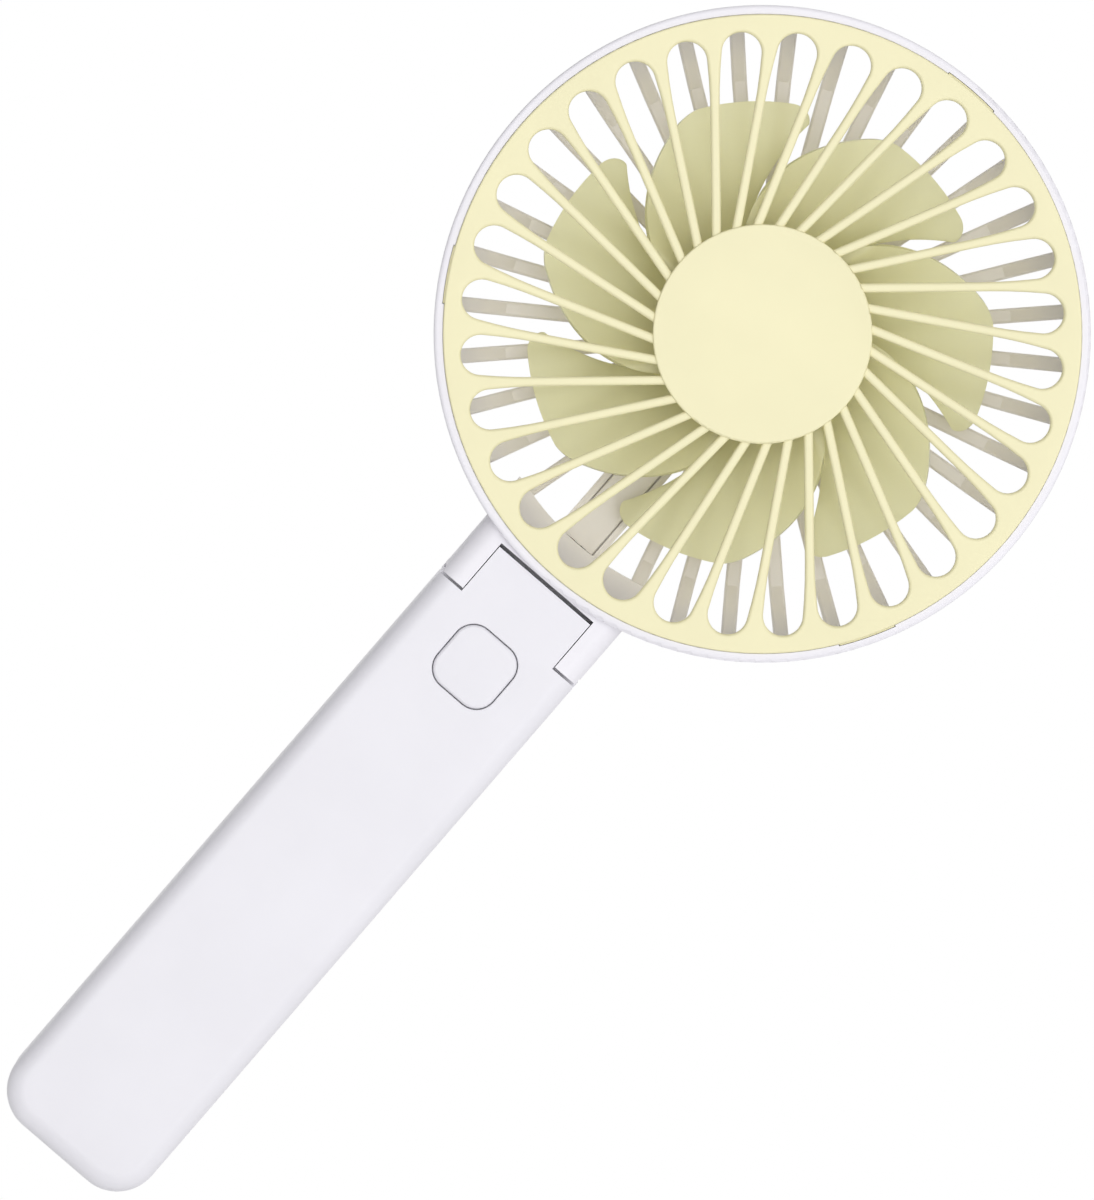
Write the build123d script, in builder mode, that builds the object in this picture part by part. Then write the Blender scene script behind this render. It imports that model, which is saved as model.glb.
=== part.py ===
"""Handheld electric fan with a folding head, in millimetres.

+Z runs up the handle to the head, and the fan blows towards -Y. The origin is
the middle of the grip, on the centre line of the handle.
"""
from build123d import *
from math import cos, radians, sin, tan
import os

os.makedirs("parts", exist_ok=True)

# Overall layout
head_z = 115.0                      # fan axis above the middle of the grip
head_radius = 50.0                  # outside of the ring
handle_bottom = -50.0
handle_width = 27.0
handle_depth = 22.0
handle_corner = 7.0                 # corners of the handle's bottom end
edge_round = 3.0                    # long edges of the handle and the neck
wall = 1.6                          # moulded walls of the handle
parting_y = 1.0                     # joint between the two handle shells

# Hinge, where two ears of the head straddle the tongue of the handle
hinge_y = 7.0
hinge_z = head_z - 55.0
ear_round = 4.0                     # ears and tongue are rounded behind the pin
ear_bottom = hinge_z - ear_round
ear_inner = 9.25                    # half the space between the ears
neck_bottom = head_z - 50.0         # flat land of the head between its ears
land_round = 4.75                   # the land dips behind the pin, round the tongue
land_rear_z = hinge_z + 4.3
neck_overlap = 2.0                  # the neck runs this far into the ring
tongue_half = 9.1
tongue_top = neck_bottom - 0.6
shoulder_z = ear_bottom - 0.45      # where the handle takes its full width
pin_radius = 1.5
pin_half = 12.3
cap_radius = 2.6
cap_depth = 1.1
washer_radius = 3.5
washer_seat = 0.5
fine_fit = 0.05
washer_seat_radius = washer_radius + 2 * fine_fit

# Light stops: ribs that stand in the joints between head and handle
land_rib_front = -5.0
land_rib_rear = -1.0
land_rib_low = tongue_top - 0.7
tongue_lip_depth = 5.6              # the tongue keeps its height this far behind its front
tongue_step_z = land_rib_low - 0.6
ear_lip_depth = 2.0
ear_recess_rear = 3.0
ear_recess_top = ear_bottom + 1.0
shoulder_rib_front = -8.5
shoulder_rib_z = ear_bottom + 0.5

# Head, from front to back along the fan axis
grille_front = -13.0
grille_back = -11.0
ring_front = -12.6
ring_rear = 5.5
ring_inner = 47.6
neck_fill_radius = 42.6             # the ring is filled in to here above the neck
neck_front = 1.0
spoke_front = 8.8
housing_back = 11.0
seat_disc_step = 0.4                # the disc behind the motor stands proud of the bars
cup_wall = 1.65                     # motor cup, in the middle of the housing
seat_clearance = 0.05

# Front grille
grille_radius = 48.6
grille_gap = 0.05
centre_disc_radius = 16.7
centre_disc_rise = 0.4
bar_count = 32
bar_offset = 6.84                   # each bar's centre line passes this far from the fan axis
bar_width = 1.4
bar_round = 0.5
slot_angle = 260.8                  # direction of one slot
slot_straight_end = 34.0
slot_end_radius = 3.05
slot_tip = 45.45                    # outermost point of a slot along its centre line
tab_angles = (90, 210, 330)
tab_half_angle = 5.2
tab_pocket_half_angle = 5.35
tab_reach = 0.22                    # how far a tab reaches past the disc's edge
tab_pocket_reach = 0.3
tab_depth = 1.3
tab_edge = 1.4                      # a tab's outer edge runs this far up the disc's rim
edge_break = 0.3                    # small rounding on moulded edges
tab_pocket_depth = 1.5

# Rear grille and wire channel
spoke_count = 36
spoke_width = 2.3
spoke_round = 0.5
spoke_bend_radius = 39.0
seat_disc_radius = 20.0
channel_half = 4.0
channel_front = 6.5
cover_half = 2.8
cover_depth = 1.0
wire_space_half = 2.4
channel_floor = 9.6
wire_pocket_start = 8.5             # the leads leave the motor here
wire_pocket_front = 2.2
wire_pocket_top = 43.3
slide_fit = 0.2                     # all-round clearance of the cover strip

# Impeller
hub_radius = 14.5
hub_front = -9.6
hub_back = -0.5
hub_wall = 1.4
blade_count = 7
blade_tip = 35.7
blade_first_angle = 66.2            # outer front corner of the first blade
blade_thickness = 1.2
blade_rear_y = 4.4                  # depth of the leading edge at the tip
blade_rise = 0.2                    # way forward for each degree round the axis
blade_span = 78.0

# Motor
motor_radius = 12.1
motor_front = -5.4
motor_back = 8.3
can_wall = 0.8
nose_radius = 3.2
nose_front = -6.5
shaft_radius = 1.0
shaft_front = -9.0
bush_radius = 2.5
bush_bore = 1.04
end_cap_front = 6.7
end_boss_front = 5.9
motor_screw_x = 7.5
screw_head_radius = 1.8
screw_radius = 0.95
screw_hole = 1.0
clear_hole = 1.1
screw_sink_radius = screw_head_radius + 0.2
motor_screw_sink = 1.8
shell_screw_sink = 2.0
lead_radius = 0.5
lead_x = 1.1                        # the two leads lie side by side
lead_y = 9.0

# Handle fittings
button_z = head_z - 66.9
button_size = 11.0
button_corner = 3.3
button_gap = 0.15
button_rise = 0.15
button_round = 0.5
opening_round = 0.2
flange_overlap = 0.9                # the button's flange reaches behind the shell all round
flange_thickness = 0.8
button_boss_radius = 1.5
button_boss_back = -8.05
plunger_back = -6.0
switch_size = 6.0
switch_front = -7.0
plunger_radius = 1.7
board_front = -4.6
board_back = -3.6
board_low = 34.6
board_high = 53.4
board_half = 10.0
board_posts = ((-7.4, 37.0), (8.1, 51.0))
port_z = 40.0
port_width = 8.94
port_height = 3.26
port_depth = 7.4
port_y = board_back + port_height / 2
shell_screws_at = ((-8.9, -43.2), (8.9, -43.2), (-9.0, 31.5), (9.0, 31.5))
boss_radius = 2.2
cell_radius = 9.1
cell_low = -38.2
cell_length = 65.0
wrap_thickness = 0.12
strip_thickness = 0.2

fan_axis = Axis((0, 0, head_z), (0, 1, 0))
fan_section = Plane.XY.offset(head_z)


def polar(radius, angle):
    """Point at a radius and an angle in degrees."""
    return (radius * cos(radians(angle)), radius * sin(radians(angle)))


def fan_face(y):
    """Plane across the fan axis at depth y, as seen from the front."""
    return Plane(origin=(0, y, head_z), x_dir=(1, 0, 0), z_dir=(0, -1, 0))


def handle_face(y):
    """Plane across the handle at depth y, as seen from the front."""
    return Plane(origin=(0, y, 0), x_dir=(1, 0, 0), z_dir=(0, -1, 0))


def ring_sector(inner, outer, middle_angle, half_angle):
    """Flat piece of a ring, about the origin."""
    low = middle_angle - half_angle
    high = middle_angle + half_angle
    with BuildSketch() as sector:
        with BuildLine():
            CenterArc((0, 0), outer, low, 2 * half_angle)
            CenterArc((0, 0), inner, low, 2 * half_angle)
            Line(polar(inner, low), polar(outer, low))
            Line(polar(inner, high), polar(outer, high))
        make_face()
    return sector.sketch


def fan_profile(*points):
    """Closed outline of (radius, y) points beside the fan axis."""
    with BuildSketch(fan_section) as profile:
        with BuildLine():
            Polyline(*points, close=True)
        make_face()
    return profile.sketch


def save(part, name):
    """Label one finished piece and write it."""
    part.label = name
    export_step(part, f"parts/{name}.step")


# ---------------------------------------------------------------- head

def make_neck():
    """Ears and neck below the ring, in the same section as the handle."""
    with BuildPart() as neck:
        with BuildSketch(Plane.XY.offset(ear_bottom)):
            RectangleRounded(handle_width, handle_depth, edge_round)
        extrude(amount=head_z - neck_fill_radius + neck_overlap - ear_bottom)
        with BuildSketch(Plane.YZ) as tongue_space:
            with Locations((0, ear_bottom)):
                Rectangle(handle_depth, 2 * (land_rear_z - ear_bottom))
            with Locations((-handle_depth / 2, ear_bottom)):
                Rectangle(handle_depth + 2 * hinge_y, 2 * (neck_bottom - ear_bottom))
            with Locations((hinge_y, hinge_z)):
                Circle(land_round)
        extrude(amount=ear_inner, both=True, mode=Mode.SUBTRACT)

        # Rib under the land, and a recess across the ears for the shoulder ribs
        with BuildSketch(Plane.YZ):
            rib_top = neck_bottom + neck_overlap
            with Locations(((land_rib_front + land_rib_rear) / 2, (land_rib_low + rib_top) / 2)):
                Rectangle(land_rib_rear - land_rib_front, rib_top - land_rib_low)
        extrude(amount=ear_inner + wall, both=True)
        ear_recess_front = ear_lip_depth - handle_depth / 2
        with BuildSketch(Plane.YZ):
            with Locations(((ear_recess_front + ear_recess_rear) / 2, ear_bottom)):
                Rectangle(ear_recess_rear - ear_recess_front, 2 * (ear_recess_top - ear_bottom))
        extrude(amount=handle_width, both=True, mode=Mode.SUBTRACT)

        with BuildSketch(Plane.YZ) as side_view:
            with Locations((0, (ear_bottom + head_z) / 2)):
                Rectangle(handle_depth, head_z - ear_bottom)
            fillet(side_view.vertices().group_by(Axis.Y)[0].sort_by(Axis.X)[-1], ear_round)
        extrude(amount=handle_width, both=True, mode=Mode.INTERSECT)
        with BuildSketch(fan_face(neck_front)):
            Circle(ring_inner)
        extrude(amount=neck_front + handle_depth, mode=Mode.SUBTRACT)
        with BuildSketch(fan_face(housing_back)):
            Circle(neck_fill_radius)
        extrude(amount=handle_depth, mode=Mode.SUBTRACT)
    return neck.part


def make_spoke():
    """One bar of the rear grille along +X, dished towards the ring."""
    root = seat_disc_radius - 2
    foot_front = ring_rear - 3.4
    foot_back = ring_rear - 0.9
    with BuildPart() as spoke:
        with BuildSketch(Plane.XY):
            with BuildLine():
                Polyline(
                    (root, spoke_front),
                    (spoke_bend_radius, spoke_front),
                    (ring_inner + 1, foot_front),
                    (ring_inner + 1.4, foot_back),
                    (spoke_bend_radius + 1, housing_back),
                    (root, housing_back),
                    close=True,
                )
            make_face()
        extrude(amount=spoke_width / 2, both=True)
        fillet(spoke.faces().filter_by(Axis.Z).edges(), spoke_round)
    return spoke.part


def make_rear_housing():
    neck = make_neck()
    spoke = make_spoke()
    seat_radius = motor_radius + seat_clearance
    cup_radius = seat_radius + cup_wall
    cup_front = hub_back + 1.0
    cup_floor = motor_back + 0.1
    disc_front = spoke_front - seat_disc_step
    disc_back = housing_back + seat_disc_step
    with BuildPart() as housing:
        # Ring, with a seat for the grille in its front edge
        with BuildSketch(fan_section) as ring:
            with BuildLine():
                Polyline(
                    (grille_radius + grille_gap, ring_front),
                    (head_radius, ring_front),
                    (head_radius, ring_rear),
                    (ring_inner, ring_rear),
                    (ring_inner, grille_back),
                    (grille_radius + grille_gap, grille_back),
                    close=True,
                )
            make_face()
            outer_corners = ring.vertices().group_by(Axis.X)[-1].sort_by(Axis.Y)
            fillet(outer_corners[0], 0.6)
            fillet(outer_corners[-1], 2.0)
        revolve(axis=fan_axis)
        add(neck)

        # Radial bars, left out where the wire channel runs
        for index in range(spoke_count):
            angle = (index + 0.5) * 360 / spoke_count
            if abs(angle - 270) > 10:
                with Locations(Location((0, 0, head_z), (0, -angle, 0))):
                    add(spoke)

        # Motor cup and the disc behind it
        with BuildSketch(fan_section) as seat:
            with BuildLine():
                Polyline(
                    (0, cup_floor),
                    (seat_radius, cup_floor),
                    (seat_radius, cup_front),
                    (cup_radius, cup_front),
                    (cup_radius, disc_front),
                    (seat_disc_radius, disc_front),
                    (seat_disc_radius, disc_back),
                    (0, disc_back),
                    close=True,
                )
            make_face()
            fillet(seat.vertices().group_by(Axis.X)[-1], 0.8)
        revolve(axis=fan_axis)

        # Wire channel from the cup to the neck
        with BuildSketch(fan_face(housing_back)):
            with Locations((0, -(seat_radius + neck_fill_radius) / 2 - 1)):
                Rectangle(2 * channel_half, neck_fill_radius - seat_radius)
        extrude(amount=housing_back - channel_front)
        with BuildSketch(fan_face(channel_front + cover_depth)):
            with Locations((0, -(cup_radius + neck_fill_radius) / 2)):
                Rectangle(2 * (cover_half + slide_fit), neck_fill_radius - cup_radius)
        extrude(amount=cover_depth, mode=Mode.SUBTRACT)
        with BuildSketch(fan_face(channel_floor)):
            with Locations((0, -(wire_pocket_top + wire_pocket_start) / 2)):
                Rectangle(2 * wire_space_half, wire_pocket_top - wire_pocket_start)
        extrude(amount=channel_floor - channel_front - cover_depth, mode=Mode.SUBTRACT)
        with BuildSketch(fan_face(channel_floor)):
            with Locations((0, -(wire_pocket_top + head_z - neck_bottom) / 2)):
                Rectangle(2 * wire_space_half, head_z - neck_bottom - wire_pocket_top)
        extrude(amount=channel_floor - wire_pocket_front, mode=Mode.SUBTRACT)

        # Pockets for the three grille tabs
        for angle in tab_angles:
            with BuildSketch(fan_face(grille_back + tab_pocket_depth)):
                add(ring_sector(ring_inner, grille_radius + tab_pocket_reach, angle, tab_pocket_half_angle))
            extrude(amount=handle_depth, mode=Mode.SUBTRACT)

        # Hinge bores, with a seat for a cap at each outer side
        for side in (-1, 1):
            with Locations(Plane((side * handle_width / 2, hinge_y, hinge_z), z_dir=(side, 0, 0))):
                CounterBoreHole(pin_radius, cap_radius, cap_depth, handle_width / 2 - ear_inner)

        # Screw holes behind the motor
        for side in (-1, 1):
            with Locations(Plane((side * motor_screw_x, disc_back, head_z), z_dir=(0, 1, 0))):
                CounterBoreHole(clear_hole, screw_sink_radius, motor_screw_sink, disc_back - motor_back)
    save(housing.part, "rear_housing")


def make_front_grille():
    half_pitch = 180 / bar_count
    centre_line = bar_offset / cos(radians(half_pitch))
    slope = tan(radians(half_pitch))
    bar_half = bar_width / 2 / cos(radians(half_pitch))
    inner_u = 11.0
    inner_half = inner_u * slope - bar_half
    side_half = slot_straight_end * slope - bar_half
    end_u = slot_tip - slot_end_radius
    with BuildSketch(Plane((0, centre_line, 0))) as slot:
        with BuildLine():
            left = Line((inner_u, inner_half), (slot_straight_end, side_half))
            flare = TangentArc(left @ 1, (end_u, slot_end_radius), tangent=left % 1)
            tip = ThreePointArc(flare @ 1, (slot_tip, 0), (end_u, -slot_end_radius))
            back = TangentArc(tip @ 1, (slot_straight_end, -side_half), tangent=(-1, 0))
            right = Line(back @ 1, (inner_u, -inner_half))
            Line(right @ 1, left @ 0)
        make_face()
    with BuildPart() as grille:
        with BuildSketch(fan_face(grille_back)):
            Circle(grille_radius)
            with Locations((0, 0)):
                with PolarLocations(0, bar_count, start_angle=slot_angle):
                    add(slot.sketch, mode=Mode.SUBTRACT)
            Circle(centre_disc_radius)
        extrude(amount=grille_back - grille_front)
        front = grille.faces().sort_by(Axis.Y)[0]
        fillet(front.inner_wires().edges(), bar_round)
        fillet(front.outer_wire().edges(), edge_break)
        with BuildSketch(fan_face(grille_back)):
            Circle(centre_disc_radius)
        extrude(amount=grille_back - grille_front + centre_disc_rise)
        fillet(grille.faces().sort_by(Axis.Y)[0].edges(), edge_break)

        # Tabs that snap behind the seat of the ring
        for angle in tab_angles:
            with BuildSketch(fan_face(grille_back + tab_depth)):
                add(ring_sector(ring_inner + slide_fit, grille_radius + tab_reach, angle, tab_half_angle))
            extrude(amount=tab_depth)
            with BuildSketch(fan_face(grille_back)):
                add(ring_sector(grille_radius - 1, grille_radius + tab_reach, angle, tab_half_angle))
            extrude(amount=tab_edge)
    save(grille.part, "front_grille")


def make_channel_cover():
    length = neck_fill_radius - motor_radius - seat_clearance - cup_wall - slide_fit
    with BuildPart() as cover:
        with BuildSketch(fan_face(channel_front + cover_depth)):
            with Locations((0, (length + slide_fit) / 2 - neck_fill_radius)):
                Rectangle(2 * cover_half, length)
        extrude(amount=cover_depth)
        fillet(cover.edges().filter_by(Axis.Z).group_by(Axis.Y)[0], edge_break)
    save(cover.part, "wire_channel_cover")


# ---------------------------------------------------------------- motor

def make_motor_case():
    cap_floor = motor_back - 0.4
    magnet_inner = 9.5
    magnet_half_angle = 58
    magnet_rear = 5.4
    magnet_length = 9.0
    with BuildPart() as can:
        profile = fan_profile(
            (bush_radius, nose_front),
            (nose_radius, nose_front),
            (nose_radius, motor_front),
            (motor_radius, motor_front),
            (motor_radius, motor_back),
            (motor_radius - can_wall, motor_back),
            (motor_radius - can_wall, motor_front + can_wall),
            (bush_radius, motor_front + can_wall),
        )
        revolve(profile, axis=fan_axis)
        front_rim = can.edges().filter_by(GeomType.CIRCLE).sort_by(SortBy.RADIUS)[-2:]
        fillet(front_rim.sort_by(Axis.Y)[0], 0.7)
    save(can.part, "motor_can")

    with BuildPart() as end_cap:
        profile = fan_profile(
            (bush_radius, end_boss_front),
            (nose_radius, end_boss_front),
            (nose_radius, end_cap_front),
            (motor_radius - can_wall, end_cap_front),
            (motor_radius - can_wall, motor_back),
            (0, motor_back),
            (0, cap_floor),
            (bush_radius, cap_floor),
        )
        revolve(profile, axis=fan_axis)
        with BuildSketch(fan_face(motor_back)):
            with Locations((-motor_screw_x, 0), (motor_screw_x, 0)):
                Circle(screw_hole)
        extrude(amount=motor_back, mode=Mode.SUBTRACT)
    save(end_cap.part, "motor_end_cap")

    for name, low, high in (("front_bush", nose_front, motor_front + can_wall + 0.4),
                            ("rear_bush", end_boss_front, cap_floor)):
        with BuildPart() as bush:
            profile = fan_profile(
                (bush_bore, low), (bush_radius, low), (bush_radius, high), (bush_bore, high)
            )
            revolve(profile, axis=fan_axis)
        save(bush.part, name)

    with BuildPart() as magnets:
        for angle in (0, 180):
            with BuildSketch(fan_face(magnet_rear)):
                add(ring_sector(magnet_inner, motor_radius - can_wall, angle, magnet_half_angle))
            extrude(amount=magnet_length)
    save(magnets.part, "motor_magnets")


def make_motor_contacts():
    leaf = 0.3
    leaf_x = 2.6
    leaf_height = 8.0
    leaf_front = 4.4
    leaf_width = 1.0
    foot_drop = 6.5
    leaf_middle_z = head_z - foot_drop + (leaf_height - leaf_width) / 2
    terminal_size = 1.2
    terminal_drop = 9.9
    with BuildPart() as brushes:
        for side in (-1, 1):
            with Locations((side * leaf_x, leaf_front + leaf_width / 2, leaf_middle_z)):
                Box(leaf, leaf_width, leaf_height)
            with Locations((side * leaf_x, (leaf_front + end_cap_front) / 2, head_z - foot_drop)):
                Box(leaf, end_cap_front - leaf_front, leaf_width)
    save(brushes.part, "motor_brushes")

    with BuildPart() as terminals:
        for side in (-1, 1):
            with Locations((side * lead_x, motor_back + terminal_size / 2, head_z - terminal_drop)):
                Box(terminal_size, terminal_size, 0.4)
    save(terminals.part, "motor_terminals")


def make_rotor():
    core_low = -1.6
    core_high = 3.4
    pole_angles = (90, 210, 330)
    pole_inner = 7.6
    pole_outer = 8.9
    pole_half_angle = 50
    coil_radius = 5.4                   # middle of each coil from the axis
    coil_overhang = 0.9
    commutator_radius = 2.4
    commutator_back = 5.6
    shaft_back = motor_back - 0.6
    with BuildPart() as shaft:
        with BuildSketch(fan_face(shaft_back)):
            Circle(shaft_radius)
        extrude(amount=shaft_back - shaft_front)
        chamfer(shaft.edges(), 0.15)
    save(shaft.part, "motor_shaft")

    with BuildPart() as core:
        with BuildSketch(fan_face(core_high)):
            Circle(2.6)
            for angle in pole_angles:
                with Locations(Location(polar(4.9, angle) + (0,), (0, 0, angle))):
                    Rectangle(6.0, 3.0)
                add(ring_sector(pole_inner, pole_outer, angle, pole_half_angle))
            Circle(shaft_radius, mode=Mode.SUBTRACT)
        extrude(amount=core_high - core_low)
    save(core.part, "armature_core")

    with BuildPart() as windings:
        for angle in pole_angles:
            coil_place = Location(polar(coil_radius, angle) + (0,), (0, 0, angle))
            with BuildSketch(fan_face(core_high + coil_overhang)):
                with Locations(coil_place):
                    RectangleRounded(3.0, 6.2, 0.8)
            extrude(amount=core_high - core_low + 2 * coil_overhang)
            with BuildSketch(fan_face(core_high)):
                with Locations(coil_place):
                    Rectangle(3.2, 3.0)
            extrude(amount=core_high - core_low, mode=Mode.SUBTRACT)
    save(windings.part, "armature_windings")

    with BuildPart() as commutator:
        profile = fan_profile(
            (shaft_radius, core_high),
            (commutator_radius, core_high),
            (commutator_radius, commutator_back),
            (shaft_radius, commutator_back),
        )
        revolve(profile, axis=fan_axis)
    save(commutator.part, "commutator")


def blade_plane(angle):
    """Plane that holds the fan axis, turned round it by an angle in degrees."""
    return Plane(
        origin=(0, 0, head_z),
        x_dir=(cos(radians(angle)), 0, sin(radians(angle))),
        z_dir=(-sin(radians(angle)), 0, cos(radians(angle))),
    )


def make_blade():
    """First blade: a thin helical sheet cut to the blade's outline."""
    start = blade_first_angle
    sections = 6
    run_out = 3                         # degrees past the outline at each end
    root = hub_radius - hub_wall / 2
    front_limit = hub_front + 0.6
    with BuildPart() as blade:
        for index in range(sections + 1):
            angle = index * (blade_span + 2 * run_out) / sections - run_out
            with BuildSketch(blade_plane(start + angle)):
                with Locations(((root + blade_tip) / 2, blade_rear_y - blade_rise * angle)):
                    Rectangle(blade_tip - root + 2, blade_thickness)
        loft()
        with BuildSketch(fan_face(housing_back)):
            with BuildLine():
                leading = Spline(
                    polar(root, start + 24),
                    polar(21.3, start + 14),
                    polar(27.4, start + 6),
                    polar(33.1, start),
                )
                lobe = ThreePointArc(leading @ 1, polar(35.0, start + 1.5), polar(blade_tip, start + 5))
                tip = ThreePointArc(lobe @ 1, polar(blade_tip, start + 18), polar(blade_tip, start + 31))
                trailing = Spline(
                    tip @ 1,
                    polar(32.7, start + 40),
                    polar(28.1, start + 47),
                    polar(20.5, start + 62),
                    polar(root, start + 76),
                )
                ThreePointArc(trailing @ 1, polar(root, start + 50), leading @ 0)
            make_face()
        extrude(amount=housing_back - front_limit, mode=Mode.INTERSECT)
    return blade.part


def make_impeller():
    blade = make_blade()
    boss_radius = 2.8
    cup_floor = hub_front + 1.5
    boss_back = nose_front - 0.4
    with BuildPart() as impeller:
        profile = fan_profile(
            (0, hub_front),
            (hub_radius, hub_front),
            (hub_radius, hub_back),
            (hub_radius - hub_wall, hub_back),
            (hub_radius - hub_wall, cup_floor),
            (boss_radius, cup_floor),
            (boss_radius, boss_back),
            (0, boss_back),
        )
        revolve(profile, axis=fan_axis)
        fillet(impeller.faces().sort_by(Axis.Y)[0].edges(), 1.0)
        for index in range(blade_count):
            turn = -index * 360 / blade_count
            with Locations(Location((0, 0, head_z), (0, turn, 0)) * Location((0, 0, -head_z))):
                add(blade)
        with BuildSketch(fan_face(nose_front)):
            Circle(shaft_radius)
        extrude(amount=nose_front - shaft_front, mode=Mode.SUBTRACT)
    save(impeller.part, "impeller")


# ---------------------------------------------------------------- hinge

def make_hinge():
    with BuildPart() as pin:
        with BuildSketch(Plane.YZ.offset(-pin_half)):
            with Locations((hinge_y, hinge_z)):
                Circle(pin_radius)
        extrude(amount=2 * pin_half)
        chamfer(pin.edges().filter_by(GeomType.CIRCLE), 0.3)
    save(pin.part, "hinge_pin")

    with BuildPart() as caps:
        for side in (-1, 1):
            cap_seat = Plane((side * (handle_width / 2 - cap_depth), hinge_y, hinge_z), z_dir=(side, 0, 0))
            with BuildSketch(cap_seat):
                Circle(cap_radius - fine_fit)
            extrude(amount=cap_depth - fine_fit)
    save(caps.part, "hinge_caps")

    with BuildPart() as washers:
        for side in (-1, 1):
            washer_plane = Plane((side * (tongue_half - washer_seat), hinge_y, hinge_z), z_dir=(side, 0, 0))
            with BuildSketch(washer_plane):
                Circle(washer_radius)
                Circle(pin_radius + 2 * fine_fit, mode=Mode.SUBTRACT)
            extrude(amount=ear_inner - fine_fit - tongue_half + washer_seat)
    save(washers.part, "friction_washers")


# ---------------------------------------------------------------- handle

def handle_block(inset, top):
    """The block of the handle, or with an inset the hollow inside it."""
    with BuildPart() as block:
        with BuildSketch(handle_face(handle_depth / 2 - inset)) as outline:
            with Locations((0, (handle_bottom + inset + top) / 2)):
                Rectangle(handle_width - 2 * inset, top - handle_bottom - inset)
            fillet(outline.vertices().group_by(Axis.Y)[0], handle_corner - inset)
        extrude(amount=handle_depth - 2 * inset)
    return block.part


def handle_outside():
    """Outside of the closed handle, with its tongue between two steps."""
    block = handle_block(0, tongue_top)
    with BuildPart() as outside:
        add(block)
        rims = outside.faces().filter_by(Axis.Y).edges()
        fillet(rims.filter_by_position(Axis.Z, handle_bottom, tongue_top, (True, False)), edge_round)
        for side in (-1, 1):
            with Locations((side * handle_width, 0, tongue_top)):
                Box(
                    2 * (handle_width - tongue_half),
                    handle_depth,
                    2 * (tongue_top - shoulder_z),
                    mode=Mode.SUBTRACT,
                )
    return outside.part


def make_front_shell():
    outside = handle_outside()
    hollow = handle_block(wall, shoulder_z - wall)
    inside_front = wall - handle_depth / 2
    with BuildPart() as shell:
        add(outside)
        split(bisect_by=Plane.XZ.offset(-parting_y), keep=Keep.TOP)
        add(hollow, mode=Mode.SUBTRACT)

        # Tongue: hollow, with its top stepped down behind a lip for the land's rib
        hollow_top = tongue_step_z - wall
        with BuildSketch(handle_face(parting_y)):
            with Locations((0, (shoulder_z + hollow_top) / 2 - wall)):
                Rectangle(2 * (tongue_half - wall), hollow_top - shoulder_z + 2 * wall)
        extrude(amount=parting_y - inside_front, mode=Mode.SUBTRACT)
        with BuildSketch(handle_face(parting_y)):
            with Locations((0, tongue_top)):
                Rectangle(handle_width, 2 * (tongue_top - tongue_step_z))
        extrude(amount=parting_y + handle_depth / 2 - tongue_lip_depth, mode=Mode.SUBTRACT)

        # Ribs on the shoulders
        rib_width = handle_width / 2 - tongue_half
        with BuildSketch(handle_face(parting_y)):
            for side in (-1, 1):
                with Locations((side * (tongue_half + rib_width / 2), shoulder_z)):
                    Rectangle(rib_width, 2 * (shoulder_rib_z - shoulder_z))
        extrude(amount=parting_y - shoulder_rib_front)

        # Screw posts and board posts
        with BuildSketch(handle_face(parting_y)):
            with Locations(*shell_screws_at):
                Circle(boss_radius)
                Circle(screw_hole, mode=Mode.SUBTRACT)
        extrude(amount=parting_y - inside_front)
        with BuildSketch(handle_face(board_front)):
            with Locations(*board_posts):
                Circle(1.5)
                Circle(0.8, mode=Mode.SUBTRACT)
        extrude(amount=board_front - inside_front)

        # Opening for the button
        with BuildSketch(handle_face(0)):
            with Locations((0, button_z)):
                RectangleRounded(
                    button_size + 2 * button_gap,
                    button_size + 2 * button_gap,
                    button_corner + button_gap,
                )
        extrude(amount=handle_depth, mode=Mode.SUBTRACT)
        opening = shell.faces().sort_by(Axis.Y)[0].inner_wires().edges()
        fillet(opening, opening_round)

        # Opening for the charging port
        with BuildSketch(Plane.YZ.offset(handle_width / 2 - 2 * wall)):
            with Locations((port_y, port_z)):
                RectangleRounded(port_height + 0.2, port_width + 0.2, port_height / 2)
        extrude(amount=handle_width, mode=Mode.SUBTRACT)
    save(shell.part, "handle_front_shell")


def make_rear_shell():
    outside = handle_outside()
    hollow = handle_block(wall, shoulder_z - wall)
    inside_back = handle_depth / 2 - wall
    with BuildPart() as shell:
        add(outside)
        split(bisect_by=Plane.XZ.offset(-parting_y), keep=Keep.BOTTOM)
        tongue_edge = shell.edges().filter_by(Axis.X).group_by(Axis.Z)[-1].sort_by(Axis.Y)[-1]
        fillet(tongue_edge, ear_round)
        add(hollow, mode=Mode.SUBTRACT)

        # Screw posts, with heads sunk in the back
        with BuildSketch(handle_face(inside_back)):
            with Locations(*shell_screws_at):
                Circle(boss_radius + 0.2)
        extrude(amount=inside_back - parting_y)
        for x, z in shell_screws_at:
            with Locations(Plane((x, handle_depth / 2, z), z_dir=(0, 1, 0))):
                CounterBoreHole(clear_hole, screw_sink_radius, shell_screw_sink, handle_depth / 2 - parting_y)

        # Passage for the leads, bore and washer seats for the hinge
        with BuildSketch(handle_face(hinge_y - 2.4)):
            with Locations((0, (shoulder_z + tongue_top) / 2)):
                Rectangle(2 * wire_space_half, tongue_top - shoulder_z + 2 * wall)
        extrude(amount=handle_depth, mode=Mode.SUBTRACT)
        for side in (-1, 1):
            with Locations(Plane((side * tongue_half, hinge_y, hinge_z), z_dir=(side, 0, 0))):
                CounterBoreHole(pin_radius + fine_fit, washer_seat_radius, washer_seat, tongue_half)
    save(shell.part, "handle_rear_shell")


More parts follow.
